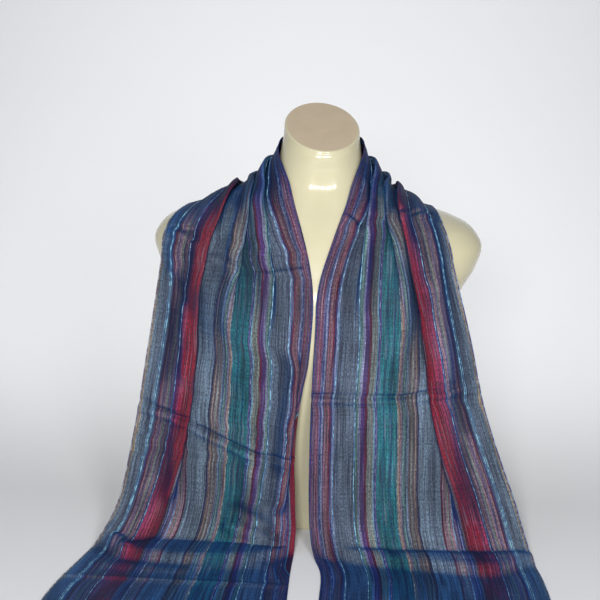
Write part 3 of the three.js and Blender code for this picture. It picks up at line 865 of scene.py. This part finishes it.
def beside_line(s, v, row):
    """Distance beside a line on the cloth, and how far it has faded in, for every grid point."""
    s0, v0, s1, v1 = row[:4]
    along_s, along_v = s1 - s0, v1 - v0
    length = math.hypot(along_s, along_v)
    t = ((s - s0) * along_s + (v - v0) * along_v) / length**2
    beside = ((v - v0) * along_s - (s - s0) * along_v) / length
    fade_in = min(0.4, 12 / length)
    fade = smooth((t + fade_in / 2) / fade_in) * smooth((1 + fade_in / 2 - t) / fade_in)
    return beside, fade


def crease_height(s, v):
    """Height of the storage creases over the grid of places (s, v)."""
    total = np.zeros_like(s)
    for row in STORAGE_CREASES:
        beside, fade = beside_line(s, v, row)
        depth, width = row[4] * CREASE_STRENGTH, row[5]
        away = np.where(v < 0, -beside, beside) - 2.4 * width
        ridge = 0.8 * np.exp(-((away / (1.6 * width)) ** 2))
        total += fade * depth * (ridge - np.exp(-((beside / width) ** 2)))
    return total


def fold_height(s, v):
    """Height of the soft folds over the grid of places (s, v)."""
    total = np.zeros_like(s)
    for row in SOFT_FOLDS:
        beside, fade = beside_line(s, v, row)
        height, width = row[4:]
        total += fade * height * np.exp(-((beside / width) ** 2))
    return total


def slow_waves(s, v, count=26):
    """Gentle swells with random places and directions, for the unevenness of hanging cloth."""
    total = np.zeros_like(s)
    for _ in range(count):
        place_s, place_v = rng.uniform(0, FOLDED_WIDTH), rng.uniform(-HALF_LENGTH, HALF_LENGTH)
        wide, long = rng.uniform(9, 22), rng.uniform(40, 110)
        lean = rng.uniform(-0.25, 0.25)
        height = rng.uniform(-1.1, 1.1)
        across = (s - place_s - lean * (v - place_v)) / wide
        total += height * np.exp(-(across**2) - ((v - place_v) / long) ** 2)
    return total


def in_pleat(s, v):
    """1 where cloth lies in or under a pleat, 0 where it lies singly."""
    section = scarf_section(v)
    most = np.zeros_like(s)
    edge = 6.0
    for name, place in PLEAT_PLACES.items():
        straight = pleat_shape(section[name], section["radius"])[2]
        reach = straight / 2 + section["radius"] * FOLD_TURN
        low, high = place - reach - straight, place + reach
        inside = smooth((s - low + edge) / edge) * smooth((high + edge - s) / edge)
        most = np.maximum(most, inside * smooth(section[name] / edge))
    return most


def aside(v):
    """How far the stripes step aside just past each storage crease."""
    step, away, length = 2.2, 9.0, 7.0
    return sum(step * np.exp(-(((v - crease - math.copysign(away, crease)) / length) ** 2))
               for crease in CREASE_PLACES)


def blurred(field, passes, axis):
    """The field smoothed along one axis: each pass takes a quarter from both neighbours."""
    soft = np.moveaxis(field.copy(), axis, 0)
    for _ in range(passes):
        soft[1:-1] = (2 * soft[1:-1] + soft[:-2] + soft[2:]) / 4
    return np.moveaxis(soft, 0, axis)


grid_v = np.repeat(rib_v[:, None], cloth_s.shape[1], axis=1)
hangs = smooth((HANG_END - np.abs(grid_v)) / HANG_FADE)
free_edge = smooth((cloth_s - FREE_EDGE_START) / FREE_EDGE_FADE) * hangs
middle = middle + (blurred(middle, FREE_EDGE_PASSES, 0) - middle) * free_edge[..., None]
on_table = smooth((np.abs(grid_v) - TABLE_START) / TABLE_FADE)
single = 1 - CALM_IN_PLEATS * in_pleat(cloth_s, grid_v)
height = fold_height(cloth_s, grid_v) + slow_waves(cloth_s, grid_v) * (1 - CALM_ON_TABLE * on_table)
height = height * single + crease_height(cloth_s, grid_v)
height = np.where(middle[..., 2] < TREAD_HEIGHT, np.maximum(height, WALL / 2 - middle[..., 2]), height)
middle = middle + way_out * height[..., None]
off_table = middle[..., 2:3] > TREAD_HEIGHT
middle = np.where(off_table, push_clear(middle, SHEET_CLEARANCE + LAYER_OFFSET), middle)
normals = surface_normals(middle)
# Painted shade: how far each place lies below its smoothed neighbours, which the finish turns into dark blue
# in the valleys.
below = ((blurred(middle, HOLLOW_PASSES, 1) - middle) * way_out).sum(axis=-1)
hollow = blurred(np.clip(below / HOLLOW_FULL, 0, 1), HOLLOW_SOFTENING, 1)
print("creases:", len(STORAGE_CREASES), "and soft folds:", len(SOFT_FOLDS))

# %% [markdown]
# The scarf is a single cloth folded over, so it is made as one sheet: the under layer from its free
# edge to the fold, round the fold, and the upper layer out to its own free edge. The two layers lie
# about half a millimetre to each side of the middle surface, and the under one falls a little short at
# its free edge. The place on the cloth is kept as the UV map, one unit for the whole width and one for
# the whole length, so every stripe runs true.

# %% The folded sheet
FOLD_ARC_STEPS = 5
UNDER_SHORT = 1.8


def rolled(s, v):
    """How far the stripes shift low on the left tail, where the fold has rolled over, so a strip of the
    under half shows at its edge.
    """
    roll, fade = 24.0, 14.0
    low_part = smooth((-425 - v) / 45) * smooth((v + 690) / 40)
    return roll * low_part * np.exp(-np.abs(s) / fade)


def sheet_grid():
    """Points, UVs and hollows of the cloth, from the under layer's free edge to the upper one's."""
    upper = middle + normals * LAYER_OFFSET
    lower = middle - normals * LAYER_OFFSET
    outward = unit(middle[:, 0] - middle[:, 1])
    arc = []
    for i in range(1, FOLD_ARC_STEPS):
        a = math.pi * i / FOLD_ARC_STEPS
        arc.append(middle[:, 0] + LAYER_OFFSET * (outward * math.sin(a) - normals[:, 0] * math.cos(a)))
    arc = np.stack(arc, axis=1)
    under = lower.copy()
    inward = unit(middle[:, -2] - middle[:, -1])
    uneven = 1 + 0.5 * np.sin(rib_v / 61) + 0.3 * np.sin(rib_v / 23 + 1)
    under[:, -1] += inward * (UNDER_SHORT * uneven)[:, None]
    under = under[:, ::-1]
    s_under = -cloth_s[:, ::-1]
    points = np.concatenate([under, arc, upper], axis=1)
    s = np.concatenate([s_under, np.zeros(arc.shape[:2]), cloth_s], axis=1)
    v = np.repeat(rib_v[:, None], s.shape[1], axis=1)
    u = (s + aside(v) - rolled(s, v) + FOLDED_WIDTH) / (2 * FOLDED_WIDTH)
    w = (v + HALF_LENGTH) / (2 * HALF_LENGTH)
    deep = np.concatenate([np.zeros((len(rib_v), s_under.shape[1] + arc.shape[1])), hollow], axis=1)
    return points, np.stack([u, w], axis=-1), deep


sheet_points, sheet_uvs, sheet_shade_depth = sheet_grid()
rows, across = sheet_points.shape[:2]
print("sheet grid", rows, "by", across, "gives", 2 * (rows - 1) * (across - 1), "triangles")

# %% [markdown]
# The stripes are warp stripes: yarns of other colours, side by side, for the whole length. A short
# chart lists them from the fold to the free edge, with the place in millimetres where each starts
# and the yarn that it is made of. In the material each half of the cloth is a colour ramp that jumps
# from yarn to yarn.

# %% Yarns and stripes
YARNS = {
    "mauve": colour(116, 56, 90),
    "navy": colour(46, 58, 118),
    "lavender": colour(126, 128, 166),
    "violet_thread": colour(96, 84, 146),
    "rosewood": colour(122, 78, 96),
    "maroon": colour(92, 26, 58),
    "ice": colour(104, 176, 206),
    "slate": colour(92, 106, 132),
    "dark_slate": colour(74, 86, 114),
    "steel": colour(106, 124, 150),
    "violet": colour(80, 52, 116),
    "khaki": colour(122, 128, 130),
    "teal": colour(34, 110, 128),
    "deep_teal": colour(22, 82, 114),
    "tan": colour(152, 136, 126),
    "sky": colour(116, 158, 194),
    "sage": colour(92, 124, 128),
    "umber": colour(98, 84, 96),
    "black": colour(24, 20, 30),
    "red": colour(136, 10, 44),
    "pink": colour(146, 48, 92),
    "rose_grey": colour(136, 108, 126),
    "dusk": colour(98, 84, 124),
}
FRONT_STRIPES = (
    (0, "navy"), (1.2, "mauve"), (3, "dusk"), (4.2, "mauve"), (6, "rose_grey"), (7, "mauve"),
    (9, "dusk"), (10.5, "navy"), (13, "lavender"), (15, "navy"), (16, "rosewood"), (18, "umber"),
    (19, "rosewood"), (21.5, "maroon"), (24, "navy"), (26, "lavender"), (28.5, "dark_slate"),
    (34, "slate"), (53.5, "dark_slate"),
    (55, "sage"), (58, "lavender"), (61, "violet"), (66, "maroon"), (68.5, "khaki"), (76.5, "sky"),
    (78, "navy"), (79.2, "violet_thread"), (81, "teal"), (88, "deep_teal"), (89.5, "teal"),
    (96, "deep_teal"), (99, "teal"), (105.5, "tan"), (107.5, "rose_grey"), (109.5, "steel"), (110.6, "dusk"),
    (112, "sage"), (115, "navy"), (116.2, "steel"), (119, "umber"), (122, "khaki"), (123.5, "umber"),
    (127, "tan"), (128.5, "umber"),
    (130.5, "black"), (132.5, "steel"), (146, "slate"), (153, "steel"), (159.5, "maroon"),
    (161.5, "rose_grey"), (166, "khaki"), (168, "rose_grey"), (172, "sky"), (173.5, "dusk"),
    (177, "navy"), (179, "lavender"), (180.5, "navy"), (182.5, "umber"), (184.5, "maroon"), (186, "red"),
    (191, "maroon"), (192, "red"), (198, "pink"), (199.5, "red"), (202, "pink"), (205.5, "maroon"),
    (206.5, "pink"), (210.5, "navy"), (213, "rose_grey"), (217, "dusk"), (219, "khaki"), (222, "rose_grey"),
    (225, "dusk"), (227, "rose_grey"), (230.5, "maroon"), (232.5, "navy"), (234, "steel"), (240, "slate"),
    (247, "steel"), (253, "tan"),
)
BACK_STRIPES = (
    (0, "mauve"), (3, "navy"), (5, "sky"), (8, "red"), (24, "pink"), (32, "maroon"), (35, "dusk"),
    (44, "slate"), (66, "ice"), (67.5, "steel"), (80, "umber"), (86, "teal"), (104, "tan"),
    (106, "violet"), (116, "navy"), (121, "slate"), (146, "maroon"), (149, "khaki"), (158, "sky"),
    (162, "steel"), (184, "black"), (186, "dusk"), (196, "pink"), (204, "navy"), (209, "slate"),
    (232, "ice"), (234, "umber"), (242, "teal"), (252, "umber"),
)
print(len(YARNS), "yarns,", len(FRONT_STRIPES) + len(BACK_STRIPES), "stripes")


# %% [markdown]
# The weave is too fine to model yarn by yarn, so it lives in the material. Each warp yarn varies a
# little in colour and brightness along its length, and a fine twill grain lies over it. The weft is a
# dark blue, and a layer weight node mixes the greyed warp seen square on with a deep blue seen at a low
# angle. Only part of that is the weave: the grey is partly a painted sheen of the lamps beside the
# camera, and the deep blue is partly painted shade on cloth that faces up. The valleys get painted
# shade as well. Rough gloss stands for the lustre of the yarn.

# %% Striped cloth finish
RAMP_STOPS = 24
DYE_DEPTH = (0.68, 0.70, 0.64, 1.0)
# Cloth seen at a low angle is painted darker and deeper blue by these two: partly the weft's own blue,
# partly painted shade for the weaker light on cloth that faces up.
LOW_ANGLE_SHADE_TINT = (0.15, 0.48, 0.96, 1.0)
WEFT_AND_SHADE_BLUE = colour(0, 54, 116)
# Painted shade: the valleys between the folds are mixed toward this dark blue by how deep they lie.
VALLEY_SHADE_BLUE = colour(10, 22, 46)
VALLEY_SHADE_SHARE = 0.85
YARN_PITCH = 1.2


def stripe_ramps(f, place, stripes):
    """The stripes as colour ramps, several because one ramp holds no more than 32 stops."""
    result = None
    for start in range(0, len(stripes), RAMP_STOPS):
        chunk = stripes[start:start + RAMP_STOPS]
        ramp = f.node("ShaderNodeValToRGB", {"Fac": f.math("DIVIDE", place, FOLDED_WIDTH)})
        ramp.color_ramp.interpolation = "CONSTANT"
        elements = ramp.color_ramp.elements
        elements.remove(elements[-1])
        elements[0].position = 0.0
        elements[0].color = YARNS[chunk[0][1]]
        for edge, yarn in chunk[1:]:
            elements.new(edge / FOLDED_WIDTH).color = YARNS[yarn]
        if result is None:
            result = ramp.outputs["Color"]
        else:
            past = f.math("GREATER_THAN", place, chunk[0][0])
            result = f.mix(past, result, ramp.outputs["Color"])
    return result


class ClothPlace:
    """The place on the cloth inside a material, and noise that is drawn out along the yarns."""

    def __init__(self, f):
        self.f = f
        uv = f.node("ShaderNodeUVMap", uv_map="cloth_uv").outputs["UV"]
        split = f.node("ShaderNodeSeparateXYZ", {"Vector": uv})
        self.s = f.scaled(split.outputs["X"], 2 * FOLDED_WIDTH, -FOLDED_WIDTH)
        self.v = f.scaled(split.outputs["Y"], 2 * HALF_LENGTH, -HALF_LENGTH)

    def noise(self, across, along, seed, detail=2.0):
        """Noise with cells that measure across by along millimetres."""
        x = self.f.math("DIVIDE", self.s, across)
        y = self.f.math("DIVIDE", self.v, along)
        spot = self.f.node("ShaderNodeCombineXYZ", {"X": x, "Y": y, "Z": seed}).outputs["Vector"]
        made = self.f.node("ShaderNodeTexNoise", {"Vector": spot, "Scale": 1.0, "Detail": detail})
        return made.outputs["Fac"]


def times(f, base, factor):
    """A colour made lighter or darker."""
    grey = f.node("ShaderNodeCombineColor", {0: factor, 1: factor, 2: factor}).outputs["Color"]
    return f.mix(1.0, base, grey, "MULTIPLY")


def striped_cloth():
    """The handwoven cloth: warp stripes, variation from yarn to yarn, a two-tone weave with painted shade at
    low angles and in the valleys, and lustre.
    """
    f = Finish("striped_cloth")
    cloth = ClothPlace(f)
    place = f.math("ADD", cloth.s, f.scaled(cloth.noise(30.0, 45.0, 3.0), 3.0, -1.5))
    place = f.math("ADD", place, f.scaled(cloth.noise(0.9, 7.0, 5.0), 0.9, -0.45))
    front = stripe_ramps(f, f.math("MAXIMUM", place, 0.0), FRONT_STRIPES)
    back = stripe_ramps(f, f.math("MAXIMUM", f.math("MULTIPLY", place, -1.0), 0.0), BACK_STRIPES)
    base = f.mix(f.math("LESS_THAN", place, 0.0), front, back)

    yarn = cloth.noise(1.7, 70.0, 11.0, 1.0)
    speck = cloth.noise(1.5, 3.0, 17.0, 1.0)
    weft = cloth.noise(60.0, 1.8, 23.0, 0.0)
    patch = cloth.noise(50.0, 90.0, 29.0)
    base = times(f, base, f.scaled(yarn, 2.6, -0.25))
    base = times(f, base, f.scaled(speck, 2.4, -0.2))
    base = times(f, base, f.scaled(weft, 0.6, 0.7))
    fine = cloth.noise(1.5, 50.0, 37.0, 0.0)
    pale_line = f.node("ShaderNodeMapRange", {"Value": fine, "From Min": 0.62, "From Max": 0.70,
                                              "To Max": 0.32}).outputs["Result"]
    dark_line = f.node("ShaderNodeMapRange", {"Value": fine, "From Min": 0.38, "From Max": 0.30,
                                              "To Max": 0.55}).outputs["Result"]
    base = f.mix(pale_line, base, colour(150, 150, 176))
    base = f.mix(dark_line, base, colour(34, 34, 72))
    base = f.mix(f.scaled(patch, 0.4, -0.08), base, colour(100, 104, 122))
    base = times(f, base, f.scaled(cloth.noise(26.0, 120.0, 41.0), 1.6, 0.15))
    base = f.mix(1.0, base, DYE_DEPTH, "MULTIPLY")
    # Painted shade: the deeper a valley, the more of the dark blue goes into its colour.
    valley_shade = f.node("ShaderNodeAttribute", attribute_name="hollow").outputs["Fac"]
    base = f.mix(f.math("MULTIPLY", valley_shade, VALLEY_SHADE_SHARE), base, VALLEY_SHADE_BLUE)

    # Partly the weave, partly painted light: square on, the greyed colour holds a painted sheen of the lamps
    # beside the camera; at a low angle it turns a painted deep blue shade.
    low_angle = f.node("ShaderNodeLayerWeight", {"Blend": 0.5}).outputs["Facing"]
    weave_and_shade_mix = f.node("ShaderNodeMapRange", {"Value": low_angle, "From Min": 0.05, "From Max": 0.62},
                      interpolation_type="SMOOTHSTEP").outputs["Result"]
    deep = f.mix(1.0, base, LOW_ANGLE_SHADE_TINT, "MULTIPLY")
    deep = f.mix(0.14, deep, WEFT_AND_SHADE_BLUE)
    f.link(f.mix(weave_and_shade_mix, base, deep), "Base Color")

    twill = f.math("SINE", f.math("MULTIPLY", f.math("ADD", cloth.s, f.scaled(cloth.v, 0.6, 0.0)), 5.2))
    ribs = f.math("SINE", f.scaled(cloth.s, 2 * math.pi / YARN_PITCH, 0.0))
    height = f.math("ADD", f.math("ADD", twill, ribs), f.math("ADD", f.scaled(yarn, 3.0, 0.0),
                                                             f.scaled(speck, 2.0, 0.0)))
    f.relief(height, 0.45, 0.00025)
    f.fill({"Roughness": 0.62, "Specular IOR Level": 0.16, "Sheen Weight": 0.02,
            "Sheen Roughness": 0.5, "Sheen Tint": (0.6, 0.75, 1.0, 1.0)})
    return f.material


# %% Make the scarf
cloth_finish = striped_cloth()
scarf = mesh_object("scarf_cloth", sheet_points.reshape(-1, 3), grid_faces(rows, across), cloth_finish,
                    sheet_uvs.reshape(-1, 2))
# The valley depths go to the finish, which paints shade with them.
valley_shade = scarf.data.attributes.new("hollow", "FLOAT", "POINT")
valley_shade.data.foreach_set("value", sheet_shade_depth.ravel().astype(np.float32))
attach(scarf, "root")
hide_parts("scarf_left_end", "scarf_left_fall", "scarf_left_shoulder", "scarf_nape",
            "scarf_right_shoulder", "scarf_right_fall", "scarf_right_end")
print("scarf cloth:", len(scarf.data.polygons), "faces")

# %% [markdown]
# Between the stripes run slub yarns: thick and thin by turns, and wrapped with a pale glittering
# thread. They stand out from the cloth, so each is a thin tube of four sides that follows its place on
# the upper layer, with a radius that swells at random. A selvedge yarn closes the free edge.

# %% Slub yarns
# Each row: the place across the cloth, the radius and the tone.
SLUB_YARNS = (
    (12.2, 0.30, "navy"),
    (28.0, 0.65, "ice"),
    (54.0, 0.75, "ice"),
    (79.8, 0.40, "violet_thread"),
    (106.3, 0.50, "tan"),
    (131.3, 0.45, "black"),
    (172.6, 0.35, "sky"),
    (212.0, 0.50, "sky"),
    (237.5, 0.70, "ice"),
    (239.6, 0.45, "ice"),
)


def slub_finish(name, tone):
    """A slub yarn: its own colour, with pale spots that are partly the wrapping thread and partly painted
    glints.
    """
    f = Finish(name)
    spot = f.node("ShaderNodeTexCoord").outputs["Object"]
    glint = f.node("ShaderNodeTexNoise", {"Vector": spot, "Scale": 170.0, "Detail": 2.0}).outputs["Fac"]
    thick = f.node("ShaderNodeMapRange", {"Value": glint, "From Min": 0.49, "From Max": 0.60})
    share = thick.outputs["Result"]
    dim = f.mix(0.70, YARNS[tone], YARNS["navy"])
    # The pale spots are partly the pale thread's own colour and partly painted glints.
    pale_thread_and_glint = f.mix(0.40, YARNS[tone], colour(168, 206, 226))
    f.link(f.mix(share, dim, pale_thread_and_glint if tone != "black" else dim), "Base Color")
    f.fill({"Roughness": 0.5})
    return f.material


def yarn_tube(name, line, outs, radii, finish):
    """A thin tube of four sides along a line. outs point away from the cloth."""
    ahead = unit(np.gradient(line, axis=0))
    side = unit(np.cross(ahead, outs))
    ring = [outs * 0.7 * radii[:, None], side * radii[:, None], -outs * 0.7 * radii[:, None],
            -side * radii[:, None]]
    points = np.stack([line + r for r in ring], axis=1)
    return mesh_object(name, points.reshape(-1, 3), grid_faces(len(line), 4, closed=True), finish)


def along_cloth(place, lift):
    """The line that a yarn at this place across the cloth follows, and the directions off the cloth."""
    place = place - aside(rib_v)
    i = np.array([np.clip(np.searchsorted(row, at) - 1, 0, len(row) - 2) for row, at in zip(cloth_s, place)])
    r = np.arange(len(cloth_s))
    t = ((place - cloth_s[r, i]) / (cloth_s[r, i + 1] - cloth_s[r, i]))[:, None]
    outs = unit(normals[r, i] * (1 - t) + normals[r, i + 1] * t)
    return middle[r, i] * (1 - t) + middle[r, i + 1] * t + outs * (LAYER_OFFSET + lift), outs


def swelling(count, radius):
    """Radii along a slub yarn: mostly thin, with random thick spots."""
    rough = rng.uniform(0, 1, count)
    soft = (rough + np.roll(rough, 1)) / 2
    return radius * (0.55 + 0.9 * soft**2)


slub_tones = ("navy", "ice", "violet_thread", "tan", "sky", "black")
slub_finishes = {tone: slub_finish("slub_" + tone, tone) for tone in slub_tones}
slubs = []
for number, (place, radius, tone) in enumerate(SLUB_YARNS):
    line, outs = along_cloth(place, 0.15)
    slubs.append(yarn_tube(f"slub_yarn_{number + 1}", line, outs, swelling(len(line), radius),
                           slub_finishes[tone]))
edge_line = middle[:, -1] + unit(middle[:, -1] - middle[:, -2]) * 0.2 + normals[:, -1] * LAYER_OFFSET
half = len(rib_v) // 2
selvedges = (("left_selvedge", slice(0, half + 1), "tan"), ("right_selvedge", slice(half, None), "navy"))
for name, part, tone in selvedges:
    line = edge_line[part]
    slubs.append(yarn_tube(name, line, normals[part, -1], np.full(len(line), 0.7), slub_finishes[tone]))
for yarn in slubs:
    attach(yarn, "root")
print("slub and selvedge yarns:", len(slubs))

# %% [markdown]
# Each end is finished with a narrow turned hem: the cloth is folded under once and sewn. On the
# folded scarf it is a band that wraps round both layers' ends.

# %% Hems
HEM_LENGTH = 12.0
HEM_OFFSET = 1.3
HEM_RIBS = 9


def hem_band(name, side):
    """A band over the last stretch of one tail, closed round the end."""
    v = np.sort(np.linspace(HALF_LENGTH - HEM_LENGTH, HALF_LENGTH, HEM_RIBS) * side)
    points, s, _ = middle_surface(v)
    square = surface_normals(points)
    upper = points + square * HEM_OFFSET
    lower = points - square * (WALL / 2)
    loop = np.concatenate([lower[:, ::-1], upper], axis=1)
    place = np.concatenate([-s[:, ::-1], s], axis=1)
    u = (place + FOLDED_WIDTH) / (2 * FOLDED_WIDTH)
    w = (np.repeat(v[:, None], place.shape[1], axis=1) + HALF_LENGTH) / (2 * HALF_LENGTH)
    count, wide = loop.shape[:2]
    band = mesh_object(name, loop.reshape(-1, 3), grid_faces(count, wide, closed=True), cloth_finish,
                       np.stack([u, w], axis=-1).reshape(-1, 2))
    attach(band, "root")
    return band


left_hem = hem_band("left_hem", -1)
right_hem = hem_band("right_hem", 1)
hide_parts("scarf_left_hem")
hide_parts("scarf_right_hem")
print("two hems,", HEM_LENGTH, "mm wide")

# %% [markdown]
# The hems are held by a row of running stitches. Each stitch is a short bowed tube of thread that lies
# on the hem, and all stitches of a hem are one mesh.

# %% Hem stitches
STITCH_PITCH = 4.5
STITCH_LENGTH = 2.9
STITCH_RADIUS = 0.3
STITCH_INSET = 1.8


def hem_stitches(name, side):
    """A row of running stitches along the inner edge of one hem."""
    v = side * (HALF_LENGTH - HEM_LENGTH + STITCH_INSET)
    points, s, _ = middle_surface(np.array([v - 0.5, v + 0.5]))
    line, places = points.mean(axis=0), s.mean(axis=0)
    starts = np.arange(STITCH_PITCH, FOLDED_WIDTH - STITCH_PITCH, STITCH_PITCH)
    at = starts[:, None] + STITCH_LENGTH * np.array([0.0, 0.5, 1.0])
    spine = np.stack([np.interp(at, places, line[:, axis]) for axis in range(3)], axis=-1)
    spine[..., 2] += HEM_OFFSET + np.array([0.0, 0.25, 0.0])
    ring = STITCH_RADIUS * np.array([(0, 1, 0), (0, 0, 1), (0, -1, 0), (0, 0, -1)])
    tubes = spine[:, :, None, :] + ring
    one = grid_faces(3, 4, closed=True)
    faces = np.concatenate([one + 12 * number for number in range(len(starts))])
    made = mesh_object(name, tubes.reshape(-1, 3), faces, slub_finishes["navy"])
    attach(made, "root")
    return made


stitches = [hem_stitches("left_hem_stitches", -1), hem_stitches("right_hem_stitches", 1)]
print("stitches in each hem:", len(stitches[0].data.polygons) // 8)
